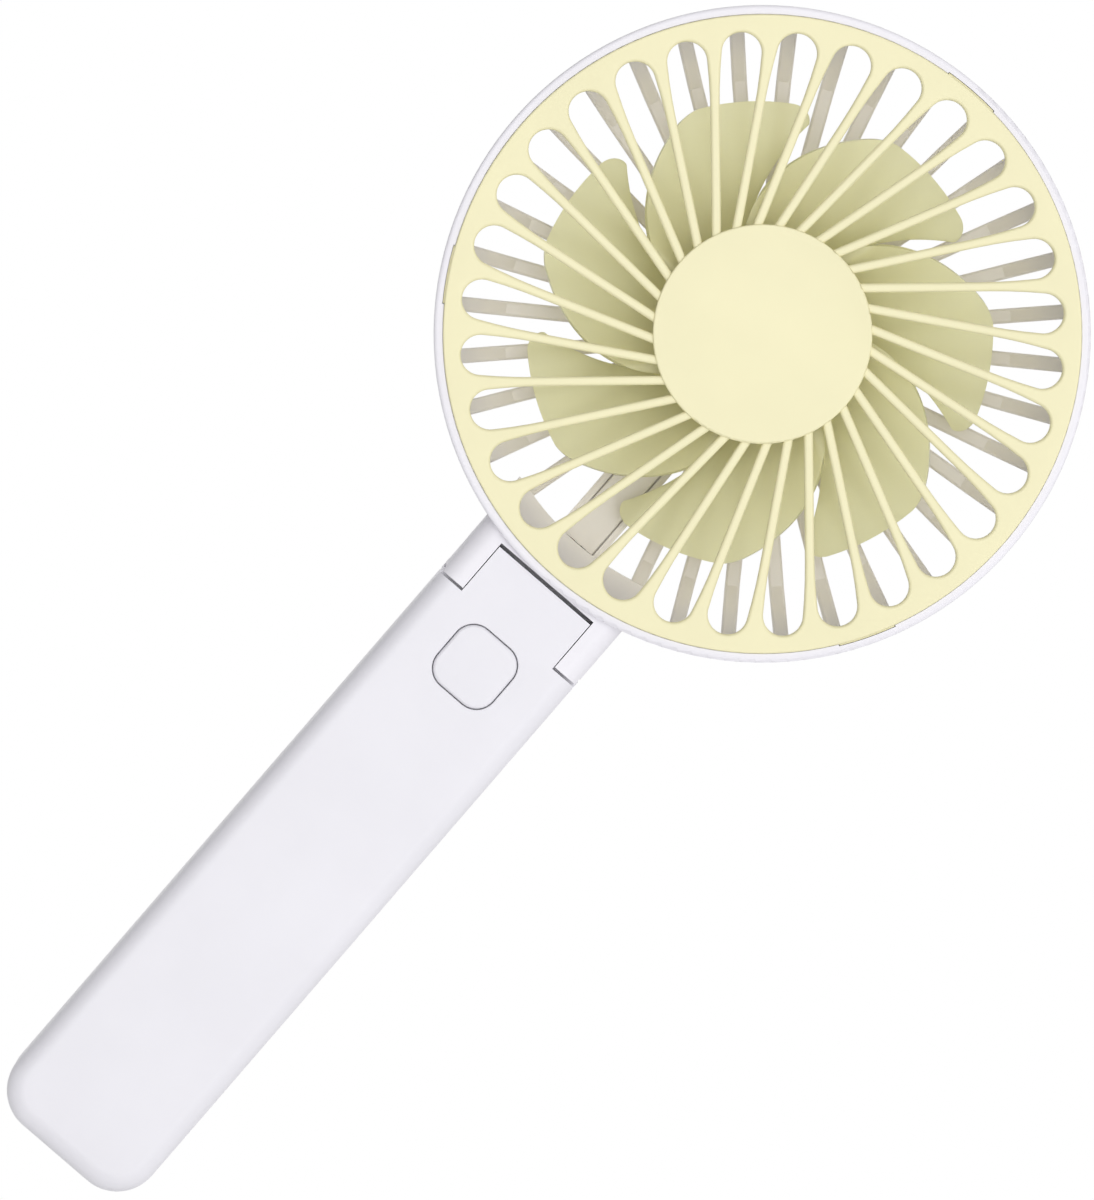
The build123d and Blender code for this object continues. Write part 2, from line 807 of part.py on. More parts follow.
def make_button():
    outer_wall_inside = wall - handle_depth / 2
    flange_front = outer_wall_inside + fine_fit
    flange_back = flange_front + flange_thickness
    with BuildPart() as button:
        with BuildSketch(handle_face(flange_front)):
            with Locations((0, button_z)):
                RectangleRounded(button_size, button_size, button_corner)
        extrude(amount=flange_front + handle_depth / 2 + button_rise)
        fillet(button.faces().sort_by(Axis.Y)[0].edges(), button_round)
        with BuildSketch(handle_face(flange_back)):
            with Locations((0, button_z)):
                RectangleRounded(
                    button_size + 2 * flange_overlap,
                    button_size + 2 * flange_overlap,
                    button_corner + flange_thickness,
                )
        extrude(amount=flange_back - flange_front)
        with BuildSketch(handle_face(button_boss_back)):
            with Locations((0, button_z)):
                Circle(button_boss_radius)
        extrude(amount=flange_back - flange_front)
    save(button.part, "power_button")

    with BuildPart() as plunger:
        with BuildSketch(handle_face(plunger_back)):
            with Locations((0, button_z)):
                Circle(plunger_radius)
        extrude(amount=plunger_back - button_boss_back)
    save(plunger.part, "switch_plunger")


def make_board():
    screw_tip_y = -7.6
    board_screw_radius = 0.75
    board_screw_head = 1.5
    chip_size = (4.9, 1.6, 3.9)
    small_part_depth = 1.2
    small_parts = ((-4.6, 46.5, 1.6), (-4.6, 43.8, 1.6), (-7.4, 45.2, 1.3), (-1.5, 41.0, 1.6))
    capacitor_radius = 2.0
    capacitor_length = 2.8
    plunger_recess = 3.0
    with BuildPart() as board:
        with BuildSketch(handle_face(board_back)):
            with Locations((0, (board_low + board_high) / 2)):
                Rectangle(2 * board_half, board_high - board_low)
            with Locations(*board_posts):
                Circle(0.95, mode=Mode.SUBTRACT)
        extrude(amount=board_back - board_front)
    save(board.part, "circuit_board")

    with BuildPart() as switch:
        with BuildSketch(handle_face(board_front)):
            with Locations((0, button_z)):
                Rectangle(switch_size, switch_size)
        extrude(amount=board_front - switch_front)
        with BuildSketch(handle_face(switch_front + 1.9)):
            with Locations((0, button_z)):
                Circle(plunger_radius + 2 * fine_fit)
        extrude(amount=plunger_recess, mode=Mode.SUBTRACT)
    save(switch.part, "tact_switch")

    with BuildPart() as screws:
        for x, z in board_posts:
            with BuildSketch(handle_face(board_back)):
                with Locations((x, z)):
                    Circle(board_screw_radius)
            extrude(amount=board_back - screw_tip_y)
            with BuildSketch(handle_face(board_back)):
                with Locations((x, z)):
                    Circle(board_screw_head)
            extrude(amount=-1.0)
    save(screws.part, "board_screws")

    with BuildPart() as chips:
        with Locations((0.5, board_back + chip_size[1] / 2, 45.6)):
            Box(*chip_size)
    save(chips.part, "control_chip")

    with BuildPart() as passives:
        for x, z, width in small_parts:
            with Locations((x, board_back + small_part_depth / 2, z)):
                Box(width, small_part_depth, 0.9)
        with Locations((-5.0, board_back + capacitor_length / 2, 40.0)):
            Cylinder(capacitor_radius, capacitor_length, rotation=(90, 0, 0))
    save(passives.part, "board_components")


def make_port():
    shell_thickness = 0.3
    back_wall = 0.8
    blade_length = 5.2
    inner_x = handle_width / 2 - shell_thickness - port_depth
    with BuildPart() as port:
        with BuildSketch(Plane.YZ.offset(inner_x)):
            with Locations((port_y, port_z)):
                RectangleRounded(port_height, port_width, port_height / 2 - 0.01)
        extrude(amount=port_depth)
        with BuildSketch(Plane.YZ.offset(inner_x + back_wall)):
            with Locations((port_y, port_z)):
                RectangleRounded(
                    port_height - 2 * shell_thickness,
                    port_width - 2 * shell_thickness,
                    port_height / 2 - shell_thickness - 0.01,
                )
        extrude(amount=port_depth, mode=Mode.SUBTRACT)
    save(port.part, "charging_port")

    with BuildPart() as blade:
        with Locations((inner_x + back_wall + blade_length / 2, port_y, port_z)):
            Box(blade_length, 0.7, 6.6)
        fillet(blade.edges().filter_by(Axis.Y).group_by(Axis.X)[-1], edge_break)
    save(blade.part, "port_contact_blade")


def make_battery():
    cell_high = cell_low + cell_length
    cell_edge = 0.8
    with BuildPart() as cell:
        with BuildSketch(Plane.XY.offset(cell_low)):
            Circle(cell_radius)
        extrude(amount=cell_length)
        fillet(cell.edges().filter_by(GeomType.CIRCLE), cell_edge)
    save(cell.part, "battery_cell")

    with BuildPart() as wrap:
        with BuildSketch(Plane.XY.offset(cell_low + 1)):
            Circle(cell_radius + wrap_thickness)
            Circle(cell_radius, mode=Mode.SUBTRACT)
        extrude(amount=cell_length - 2)
    save(wrap.part, "battery_wrap")

    with BuildPart() as strips:
        for z in (cell_low - strip_thickness / 2, cell_high + strip_thickness / 2):
            with Locations((0, 0, z)):
                Box(5.0, 13.0, strip_thickness)
    save(strips.part, "battery_strips")


def make_shell_screws():
    head_back = handle_depth / 2 - 0.6
    head_front = handle_depth / 2 - shell_screw_sink
    screw_tip_y = -6.0
    cross_length = 2.2
    cross_width = 0.5
    with BuildPart() as screws:
        with BuildSketch(handle_face(head_front)):
            with Locations(*shell_screws_at):
                Circle(screw_radius)
        extrude(amount=head_front - screw_tip_y)
        with BuildSketch(handle_face(head_back)):
            with Locations(*shell_screws_at):
                Circle(screw_head_radius)
        extrude(amount=head_back - head_front)
        with BuildSketch(handle_face(head_back)):
            with Locations(*shell_screws_at):
                Rectangle(cross_length, cross_width)
                Rectangle(cross_width, cross_length)
        extrude(amount=0.8, mode=Mode.SUBTRACT)
    save(screws.part, "shell_screws")

    head_back = housing_back - 0.4
    head_front = housing_back - 1.4
    with BuildPart() as screws:
        with BuildSketch(fan_face(head_front)):
            with Locations((-motor_screw_x, 0), (motor_screw_x, 0)):
                Circle(screw_radius)
        extrude(amount=head_front - end_cap_front)
        with BuildSketch(fan_face(head_back)):
            with Locations((-motor_screw_x, 0), (motor_screw_x, 0)):
                Circle(screw_head_radius)
        extrude(amount=head_back - head_front)
        with BuildSketch(fan_face(head_back)):
            with Locations((-motor_screw_x, 0), (motor_screw_x, 0)):
                Rectangle(cross_length, cross_width)
                Rectangle(cross_width, cross_length)
        extrude(amount=0.6, mode=Mode.SUBTRACT)
    save(screws.part, "motor_screws")


# ---------------------------------------------------------------- leads

def make_lead(name, points):
    """Round lead along straight runs joined by arcs as large as the runs allow."""
    corners = [Vector(*point) for point in points]
    runs = [after - before for before, after in zip(corners, corners[1:])]
    radii = []
    for before, after in zip(runs, runs[1:]):
        half_turn = radians(before.get_angle(after) / 2)
        radii.append(0.45 * min(before.length, after.length) / tan(half_turn))
    print(name, "bend radii", [round(radius, 1) for radius in radii])
    with BuildPart() as lead:
        with BuildLine():
            route = FilletPolyline(*points, radius=radii)
        with BuildSketch(Plane(route @ 0, z_dir=route % 0)):
            Circle(lead_radius)
        sweep()
    save(lead.part, name)


def make_leads():
    hinge_pass_y = 3.2                  # the leads pass the hinge pin this deep
    for name, side in (("motor_lead_red", -1), ("motor_lead_black", 1)):
        x = side * lead_x
        make_lead(
            name,
            [(x, lead_y, head_z - 10.1), (x, lead_y, head_z - 43.5),
             (x, hinge_pass_y, head_z - 47.6), (x, hinge_pass_y, neck_bottom - 0.1)],
        )
    for name, side in (("handle_lead_red", -1), ("handle_lead_black", 1)):
        x = side * lead_x
        make_lead(
            name,
            [(x, hinge_pass_y, tongue_top - 0.3), (x, hinge_pass_y, head_z - 57.0),
             (x, -3.0, head_z - 62.0), (x, -3.0, head_z - 65.0)],
        )
    make_lead(
        "battery_lead_red",
        [(0, -5.2, 27.0), (0, -5.2, 30.2), (0, -3.05, 33.8), (0, -3.05, 37.5)],
    )
    make_lead(
        "battery_lead_black",
        [(-2.0, -1.0, -38.95), (-9.2, -6.8, -39.2), (-10.6, -7.8, -34.0), (-10.6, -7.8, 22.5),
         (-5.4, -6.6, 28.4), (-4.4, -3.05, 33.9), (-4.4, -3.05, 37.5)],
    )


make_rear_housing()
make_front_grille()
make_channel_cover()
make_motor_case()
make_motor_contacts()
make_rotor()
make_impeller()
make_hinge()
make_front_shell()
make_rear_shell()
make_button()
make_board()
make_port()
make_battery()
make_shell_screws()
make_leads()
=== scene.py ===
import math

import bpy
from mathutils import Matrix, Vector


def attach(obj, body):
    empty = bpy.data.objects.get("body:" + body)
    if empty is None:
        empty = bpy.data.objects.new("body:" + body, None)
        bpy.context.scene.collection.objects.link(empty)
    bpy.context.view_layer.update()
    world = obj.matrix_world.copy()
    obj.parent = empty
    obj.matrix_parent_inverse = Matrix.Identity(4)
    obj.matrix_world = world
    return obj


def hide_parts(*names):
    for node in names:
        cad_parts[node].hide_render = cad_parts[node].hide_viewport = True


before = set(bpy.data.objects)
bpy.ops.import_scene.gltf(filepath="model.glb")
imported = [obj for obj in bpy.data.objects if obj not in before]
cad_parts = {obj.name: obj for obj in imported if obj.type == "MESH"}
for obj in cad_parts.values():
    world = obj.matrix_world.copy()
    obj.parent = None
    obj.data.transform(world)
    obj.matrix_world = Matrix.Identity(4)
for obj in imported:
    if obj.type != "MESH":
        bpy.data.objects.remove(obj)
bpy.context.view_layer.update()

# ---------------------------------------------------------------------------
# Motor case. A drawn can of zinc-plated steel, closed at the back by a moulded
# nylon cap that carries the brushes, with a sintered bronze bush at each end.
# ---------------------------------------------------------------------------


def new_material(name):
    """Material with an empty shader: gives the material, its nodes, its links and the shader."""
    material = bpy.data.materials.new(name)
    material.use_nodes = True
    nodes = material.node_tree.nodes
    return material, nodes, material.node_tree.links, nodes["Principled BSDF"]


def noise(nodes, links, scale, detail=3.0, stretch=(1, 1, 1)):
    """Noise on the piece's own coordinates, in features for each metre, stretched along an axis."""
    place = nodes.new("ShaderNodeTexCoord")
    mapping = nodes.new("ShaderNodeMapping")
    mapping.inputs["Scale"].default_value = stretch
    links.new(place.outputs["Object"], mapping.inputs["Vector"])
    texture = nodes.new("ShaderNodeTexNoise")
    texture.inputs["Scale"].default_value = scale
    texture.inputs["Detail"].default_value = detail
    links.new(mapping.outputs["Vector"], texture.inputs["Vector"])
    return texture


def two_tones(nodes, links, texture, dark, light, low=0.35, high=0.65):
    """Colour ramp between two tones, read from a texture."""
    ramp = nodes.new("ShaderNodeValToRGB")
    ramp.color_ramp.elements[0].position = low
    ramp.color_ramp.elements[0].color = list(dark) + [1]
    ramp.color_ramp.elements[1].position = high
    ramp.color_ramp.elements[1].color = list(light) + [1]
    links.new(texture.outputs["Fac"], ramp.inputs["Fac"])
    return ramp


def uneven_gloss(nodes, links, texture, shader, roughness, spread):
    """Roughness that wanders about its middle value with a texture."""
    gloss = nodes.new("ShaderNodeMapRange")
    gloss.inputs["To Min"].default_value = roughness - spread
    gloss.inputs["To Max"].default_value = roughness + spread
    links.new(texture.outputs["Fac"], gloss.inputs["Value"])
    links.new(gloss.outputs["Result"], shader.inputs["Roughness"])


def fine_relief(nodes, links, texture, shader, strength, distance):
    """Bump from a texture, its depth in metres."""
    bump = nodes.new("ShaderNodeBump")
    bump.inputs["Strength"].default_value = strength
    bump.inputs["Distance"].default_value = distance
    links.new(texture.outputs["Fac"], bump.inputs["Height"])
    links.new(bump.outputs["Normal"], shader.inputs["Normal"])


def metal(name, dark, light, roughness, stretch=(1, 1, 1), scale=900, relief=0.25):
    """Bare or plated metal with rolling or turning marks along one axis."""
    material, nodes, links, shader = new_material(name)
    marks = noise(nodes, links, scale, 4, stretch)
    ramp = two_tones(nodes, links, marks, dark, light)
    links.new(ramp.outputs["Color"], shader.inputs["Base Color"])
    uneven_gloss(nodes, links, marks, shader, roughness, 0.08)
    fine_relief(nodes, links, marks, shader, relief, 0.00002)
    shader.inputs["Metallic"].default_value = 1.0
    return material


def moulded_plastic(name, colour, roughness, grain=0.0008, relief=0.08, shade=0.975):
    """Moulded plastic: a faintly cloudy tone, fine tool texture and uneven gloss."""
    material, nodes, links, shader = new_material(name)
    cloud = noise(nodes, links, 60, 3)
    ramp = two_tones(nodes, links, cloud, [c * shade for c in colour], colour)
    links.new(ramp.outputs["Color"], shader.inputs["Base Color"])
    texture = noise(nodes, links, 1 / grain, 0.5)
    uneven_gloss(nodes, links, texture, shader, roughness, 0.07)
    fine_relief(nodes, links, texture, shader, relief, grain / 30)
    shader.inputs["IOR"].default_value = 1.5
    return material


def finish_node(material, *nodes):
    """Give CAD nodes their finished material."""
    for node in nodes:
        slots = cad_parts[node].data.materials
        slots.clear()
        slots.append(material)


plated_can = metal("plated_can", (0.56, 0.57, 0.58), (0.72, 0.73, 0.75), 0.30, stretch=(1, 6, 1))
finish_node(plated_can, "motor_can")
finish_node(moulded_plastic("cap_nylon", (0.78, 0.76, 0.70), 0.50), "motor_end_cap")
sintered_bronze = metal(
    "sintered_bronze", (0.34, 0.22, 0.11), (0.58, 0.41, 0.22), 0.52, scale=4000, relief=0.5
)
finish_node(sintered_bronze, "front_bush", "rear_bush")
magnet_ferrite = moulded_plastic(
    "magnet_ferrite", (0.055, 0.055, 0.06), 0.62, grain=0.0004, relief=0.5, shade=0.7
)
finish_node(magnet_ferrite, "motor_magnets")
rolled_brass = metal("rolled_brass", (0.62, 0.43, 0.16), (0.82, 0.63, 0.30), 0.28, stretch=(1, 1, 8))
finish_node(rolled_brass, "motor_brushes", "motor_terminals")

# ---------------------------------------------------------------------------
# Rotor. A ground steel shaft carries a stack of electrical-steel laminations,
# three coils of enamelled copper wire and a three-bar copper commutator.
# ---------------------------------------------------------------------------
ground_steel = metal("ground_steel", (0.60, 0.61, 0.63), (0.80, 0.81, 0.83), 0.16, stretch=(1, 12, 1))
finish_node(ground_steel, "motor_shaft")


def laid_up(name, dark, light, pitch, axis):
    """Wires or sheets laid side by side along an axis: bands a pitch apart, each rounded, darker in the
    groove between bands.
    """
    material, nodes, links, shader = new_material(name)
    place = nodes.new("ShaderNodeTexCoord")
    turns = nodes.new("ShaderNodeTexWave")
    turns.bands_direction = axis
    turns.inputs["Scale"].default_value = 1 / pitch / 20
    turns.inputs["Distortion"].default_value = 0.4
    links.new(place.outputs["Object"], turns.inputs["Vector"])
    # The dark tone in each groove is painted shade between round wires, and the dark joint between sheets
    ramp = two_tones(nodes, links, turns, dark, light, low=0.1, high=0.8)
    links.new(ramp.outputs["Color"], shader.inputs["Base Color"])
    fine_relief(nodes, links, turns, shader, 0.8, pitch / 3)
    shader.inputs["Metallic"].default_value = 0.85
    shader.inputs["Roughness"].default_value = 0.28
    shader.inputs["Coat Weight"].default_value = 0.5
    return material


wire_thickness = 0.0003
sheet_thickness = 0.0005
# The darker copper tone is painted shade in the grooves between turns
enamelled_copper = laid_up("enamelled_copper", (0.30, 0.09, 0.03), (0.72, 0.32, 0.13), wire_thickness, "Y")
finish_node(enamelled_copper, "armature_windings")
steel_laminations = laid_up("steel_laminations", (0.16, 0.16, 0.17), (0.42, 0.42, 0.44), sheet_thickness, "Y")
finish_node(steel_laminations, "armature_core")
turned_copper = metal("turned_copper", (0.50, 0.22, 0.12), (0.78, 0.42, 0.25), 0.22, stretch=(1, 8, 1))
finish_node(turned_copper, "commutator")

# ---------------------------------------------------------------------------
# Rear housing. One moulding in white ABS: ring, radial back grille, motor cup,
# wire channel, neck and the two hinge ears.
# ---------------------------------------------------------------------------
mm = 0.001
fan_z = 115 * mm
# Radii over which the painted light inside the ring fades to the housing's own white
painted_light_until = 42 * mm
own_white_from = 49 * mm


def only(piece):
    """Select one object and make it active."""
    bpy.ops.object.select_all(action="DESELECT")
    piece.select_set(True)
    bpy.context.view_layer.objects.active = piece


def moulding(node, name, material, body, smooth_angle=32.0):
    """The finished skin of a CAD piece: its surface joined up, with soft shading across its curves."""
    piece = bpy.data.objects.new(name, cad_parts[node].data.copy())
    bpy.context.scene.collection.objects.link(piece)
    only(piece)
    piece.data.materials.clear()
    piece.data.materials.append(material)
    bpy.ops.object.mode_set(mode="EDIT")
    bpy.ops.mesh.select_all(action="SELECT")
    bpy.ops.mesh.customdata_custom_splitnormals_clear()
    bpy.ops.mesh.remove_doubles(threshold=0.000002)
    bpy.ops.object.mode_set(mode="OBJECT")
    bpy.ops.object.shade_smooth_by_angle(angle=math.radians(smooth_angle))
    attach(piece, body)
    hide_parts(node)
    return piece


def outward(nodes, links, start, end):
    """A level that rises from 0 to 1 between two distances from the fan's axis."""
    place = nodes.new("ShaderNodeTexCoord")
    centred = nodes.new("ShaderNodeMapping")
    centred.inputs["Location"].default_value = (0, 0, -fan_z)
    centred.inputs["Scale"].default_value = (1, 0, 1)
    links.new(place.outputs["Object"], centred.inputs["Vector"])
    radius = nodes.new("ShaderNodeVectorMath")
    radius.operation = "LENGTH"
    links.new(centred.outputs["Vector"], radius.inputs[0])
    reach = nodes.new("ShaderNodeMapRange")
    reach.inputs["From Min"].default_value = start
    reach.inputs["From Max"].default_value = end
    links.new(radius.outputs["Value"], reach.inputs["Value"])
    return reach.outputs["Result"]


def housing_plastic():
    """White ABS with painted light inside the ring: a lighter, warmer tone there stands in for light bounced
    off the yellow grille and shining through the plastic.
    """
    material = moulded_plastic("housing_abs", (0.78, 0.765, 0.81), 0.42)
    nodes = material.node_tree.nodes
    links = material.node_tree.links
    base_colour = nodes["Principled BSDF"].inputs["Base Color"]
    outside_tone = base_colour.links[0].from_socket
    tone = nodes.new("ShaderNodeMix")
    tone.data_type = "RGBA"
    # Painted light: the lighter, warmer tone inside the ring stands in for bounced and shining-through light
    tone.inputs[6].default_value = (0.885, 0.845, 0.79, 1)
    links.new(outward(nodes, links, painted_light_until, own_white_from), tone.inputs[0])
    links.new(outside_tone, tone.inputs[7])
    links.new(tone.outputs[2], base_colour)
    return material


housing_abs = housing_plastic()
rear_housing = moulding("rear_housing", "rear_housing_moulding", housing_abs, "head")

# ---------------------------------------------------------------------------
# Motor screws and leads. Two zinc-plated screws hold the motor from behind; two
# PVC leads run down the channel, which a thin white strip closes.
# ---------------------------------------------------------------------------
screw_zinc = metal("screw_zinc", (0.58, 0.59, 0.60), (0.80, 0.81, 0.82), 0.22, scale=2500)
finish_node(screw_zinc, "motor_screws")


def lead_sleeve(name, colour):
    """Extruded PVC sleeve, glossy, with a slight orange-peel surface."""
    material, nodes, links, shader = new_material(name)
    cloud = noise(nodes, links, 300, 2)
    ramp = two_tones(nodes, links, cloud, [c * 0.8 for c in colour], colour)
    links.new(ramp.outputs["Color"], shader.inputs["Base Color"])
    uneven_gloss(nodes, links, cloud, shader, 0.33, 0.06)
    fine_relief(nodes, links, noise(nodes, links, 3000, 2), shader, 0.2, 0.00002)
    return material


red_sleeve = lead_sleeve("red_sleeve", (0.52, 0.015, 0.012))
black_sleeve = lead_sleeve("black_sleeve", (0.02, 0.02, 0.022))
finish_node(red_sleeve, "motor_lead_red", "handle_lead_red", "battery_lead_red")
finish_node(black_sleeve, "motor_lead_black", "handle_lead_black", "battery_lead_black")

channel_cover = moulding("wire_channel_cover", "channel_cover_strip", housing_abs, "head")

# ---------------------------------------------------------------------------
# Impeller. One moulding in tinted, slightly clear plastic: a cup pressed on the
# shaft and seven thin helical blades with rounded edges and swept outlines.
# ---------------------------------------------------------------------------
hub_radius = 14.5 * mm
hub_front = -9.6 * mm
hub_rear = -0.5 * mm
hub_wall = 1.4 * mm
cup_depth = 7.6 * mm
boss_radius = 2.8 * mm
boss_rise = 1.2 * mm
bore_radius = 1.0 * mm
bore_depth = 2.1 * mm
hub_round = 0.5 * mm
blade_count = 7
blade_thickness = 1.1 * mm
blade_round = 0.4 * mm
# Radii over which the blades turn from darker near the hub to lighter outside
darker_blade_until = 16 * mm
lighter_blade_from = 34 * mm

# Blade outline: radii and depths in millimetres, angles in degrees, anticlockwise seen from the front
blade_root = 13.8
blade_tip = 35.7
first_blade_angle = 66.2
blade_spread = 31.0
lead_sweep = 1.2
lead_curl = 0.00227
lobe_start = 33.1
lobe_sweep = 5.0
trail_sweep = 2.9
trail_curl = 0.036
corner_start = 34.3
corner_sweep = 2.6
blade_rear = 4.4
rise_per_degree = 0.2
deepest_rise = 12.9


def leading_angle(r):
    """Angle of the leading edge at a radius, rounded off at the tip."""
    if r <= lobe_start:
        return lead_curl * (lobe_start - r) ** 2 + lead_sweep * (lobe_start - r)
    reach = min((r - lobe_start) / (blade_tip - lobe_start), 1.0)
    return lobe_sweep * (1 - math.sqrt(1 - reach * reach))


def trailing_angle(r):
    """Angle of the trailing edge at a radius, swept back towards the hub and rounded off at the tip."""
    swept = blade_spread + trail_sweep * (blade_tip - r) - trail_curl * (blade_tip - r) ** 2
    reach = min(max((r - corner_start) / (blade_tip - corner_start), 0.0), 1.0)
    return swept - corner_sweep * (1 - math.sqrt(1 - reach * reach))


def blade_plastic_material():
    """Tinted plastic that passes some light, deeper in colour towards the hub."""
    material, nodes, links, shader = new_material("blade_plastic")
    ramp = nodes.new("ShaderNodeValToRGB")
    ramp.color_ramp.elements[0].color = (0.925, 0.895, 0.53, 1)
    ramp.color_ramp.elements[1].color = (0.94, 0.92, 0.60, 1)
    links.new(outward(nodes, links, darker_blade_until, lighter_blade_from), ramp.inputs["Fac"])
    links.new(ramp.outputs["Color"], shader.inputs["Base Color"])
    grain = noise(nodes, links, 2500, 3)
    uneven_gloss(nodes, links, grain, shader, 0.32, 0.05)
    fine_relief(nodes, links, grain, shader, 0.15, 0.00003)
    shader.inputs["Transmission Weight"].default_value = 0.32
    shader.inputs["IOR"].default_value = 1.49
    return material


def face_on(piece, y):
    """In edit mode, select the flat cap of a turned piece at depth y, in metres."""
    bpy.ops.mesh.select_mode(type="FACE")
    bpy.ops.mesh.select_all(action="DESELECT")
    bpy.ops.object.mode_set(mode="OBJECT")
    for face in piece.data.polygons:
        flat = all(abs(piece.data.vertices[index].co.y - y) < 0.000001 for index in face.vertices)
        face.select = flat and len(face.vertices) > 4
    bpy.ops.object.mode_set(mode="EDIT")


def apply_modifiers(piece):
    """Apply every modifier of a piece in turn."""
    only(piece)
    for modifier in list(piece.modifiers):
        bpy.ops.object.modifier_apply(modifier=modifier.name)


blade_plastic = blade_plastic_material()
bpy.ops.object.select_all(action="DESELECT")
bpy.ops.mesh.primitive_cylinder_add(vertices=96, radius=hub_radius, depth=hub_rear - hub_front,
                                    location=(0, (hub_front + hub_rear) / 2, fan_z),
                                    rotation=(math.radians(90), 0, 0))
impeller = bpy.context.object
impeller.name = "impeller_moulding"
bpy.ops.object.transform_apply(location=True, rotation=True, scale=True)
bpy.ops.object.mode_set(mode="EDIT")
face_on(impeller, hub_rear)
bpy.ops.mesh.inset(thickness=hub_wall)
bpy.ops.mesh.extrude_region_move(TRANSFORM_OT_translate={"value": (0, -cup_depth, 0)})
bpy.ops.mesh.inset(thickness=hub_radius - hub_wall - boss_radius)
bpy.ops.mesh.extrude_region_move(TRANSFORM_OT_translate={"value": (0, boss_rise, 0)})
bpy.ops.mesh.inset(thickness=boss_radius - bore_radius)
bpy.ops.mesh.extrude_region_move(TRANSFORM_OT_translate={"value": (0, -bore_depth, 0)})
bpy.ops.object.mode_set(mode="OBJECT")
rim = impeller.modifiers.new("rim", "BEVEL")
rim.width = hub_round
rim.segments = 3
rim.angle_limit = math.radians(50)
apply_modifiers(impeller)

radial_steps = 44
span_steps = 40
bpy.ops.object.select_all(action="DESELECT")
bpy.ops.mesh.primitive_grid_add(x_subdivisions=radial_steps, y_subdivisions=span_steps, size=1)
blade = bpy.context.object
for vertex in blade.data.vertices:
    reach = math.sin((vertex.co.x + 0.5) * math.pi / 2)
    r = blade_root + reach * (blade_tip - blade_root)
    lead = leading_angle(r)
    turn = lead + (vertex.co.y + 0.5) * (trailing_angle(r) - lead)
    rise = min(rise_per_degree * turn, deepest_rise)
    angle = math.radians(first_blade_angle + turn)
    vertex.co = (r * mm * math.cos(angle), (blade_rear - rise) * mm, r * mm * math.sin(angle))
skin = blade.modifiers.new("skin", "SOLIDIFY")
skin.thickness = blade_thickness
skin.offset = 0
edge = blade.modifiers.new("edge", "BEVEL")
edge.width = blade_round
edge.segments = 3
edge.angle_limit = math.radians(50)
apply_modifiers(blade)
bpy.ops.object.mode_set(mode="EDIT")
bpy.ops.mesh.select_all(action="SELECT")
bpy.ops.mesh.normals_make_consistent(inside=False)
bpy.ops.object.mode_set(mode="OBJECT")

blades = []
to_fan_axis = Matrix.Translation((0, 0, fan_z))
for index in range(blade_count):
    copy = blade.copy()
    copy.data = blade.data.copy()
    copy.data.transform(to_fan_axis @ Matrix.Rotation(-index * math.tau / blade_count, 4, "Y"))
    bpy.context.scene.collection.objects.link(copy)
    blades.append(copy)
bpy.data.objects.remove(blade)
only(impeller)
for copy in blades:
    copy.select_set(True)
bpy.ops.object.join()
bpy.ops.object.shade_smooth_by_angle(angle=math.radians(40))
impeller.data.materials.clear()
impeller.data.materials.append(blade_plastic)
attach(impeller, "rotor")
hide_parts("impeller")

# ---------------------------------------------------------------------------
# Front grille. A disc of pale yellow ABS with thirty-two swirled bars, rounded
# over at the front, round a raised centre; three tabs snap it into the ring.
# ---------------------------------------------------------------------------
yellow_abs = moulded_plastic("yellow_abs", (0.785, 0.74, 0.475), 0.40)
front_grille = moulding("front_grille", "front_grille_moulding", yellow_abs, "head", smooth_angle=40)

# ---------------------------------------------------------------------------
# Hinge. A steel pin pressed through the ears, two spring washers that hold the
# head where it is set, and a small white cap over each end of the pin.
# ---------------------------------------------------------------------------
pin_steel = metal("pin_steel", (0.50, 0.51, 0.53), (0.70, 0.71, 0.73), 0.20, stretch=(10, 1, 1))
finish_node(pin_steel, "hinge_pin")
spring_steel = metal("spring_steel", (0.20, 0.20, 0.22), (0.40, 0.40, 0.43), 0.34, scale=1800)
finish_node(spring_steel, "friction_washers")
white_abs = moulded_plastic("white_abs", (0.74, 0.73, 0.775), 0.36)
hinge_caps = moulding("hinge_caps", "hinge_cap_pair", white_abs, "head")

# ---------------------------------------------------------------------------
# Battery. One standard cell in a shrink-wrapped sleeve, with a nickel strip
# spot-welded to each end.
# ---------------------------------------------------------------------------
cell_steel = metal("cell_steel", (0.55, 0.55, 0.56), (0.70, 0.70, 0.71), 0.30, stretch=(1, 1, 4))
finish_node(cell_steel, "battery_cell")
shrink_sleeve = moulded_plastic(
    "shrink_sleeve", (0.05, 0.20, 0.42), 0.22, grain=0.0009, relief=0.35, shade=0.85
)
finish_node(shrink_sleeve, "battery_wrap")
nickel_strip = metal("nickel_strip", (0.60, 0.59, 0.56), (0.78, 0.77, 0.73), 0.26, stretch=(1, 5, 1))
finish_node(nickel_strip, "battery_strips")

# ---------------------------------------------------------------------------
# Circuit board. Green glass-epoxy board with the charging chip, its small parts,
# the push switch and the charging socket, held by two screws.
# ---------------------------------------------------------------------------


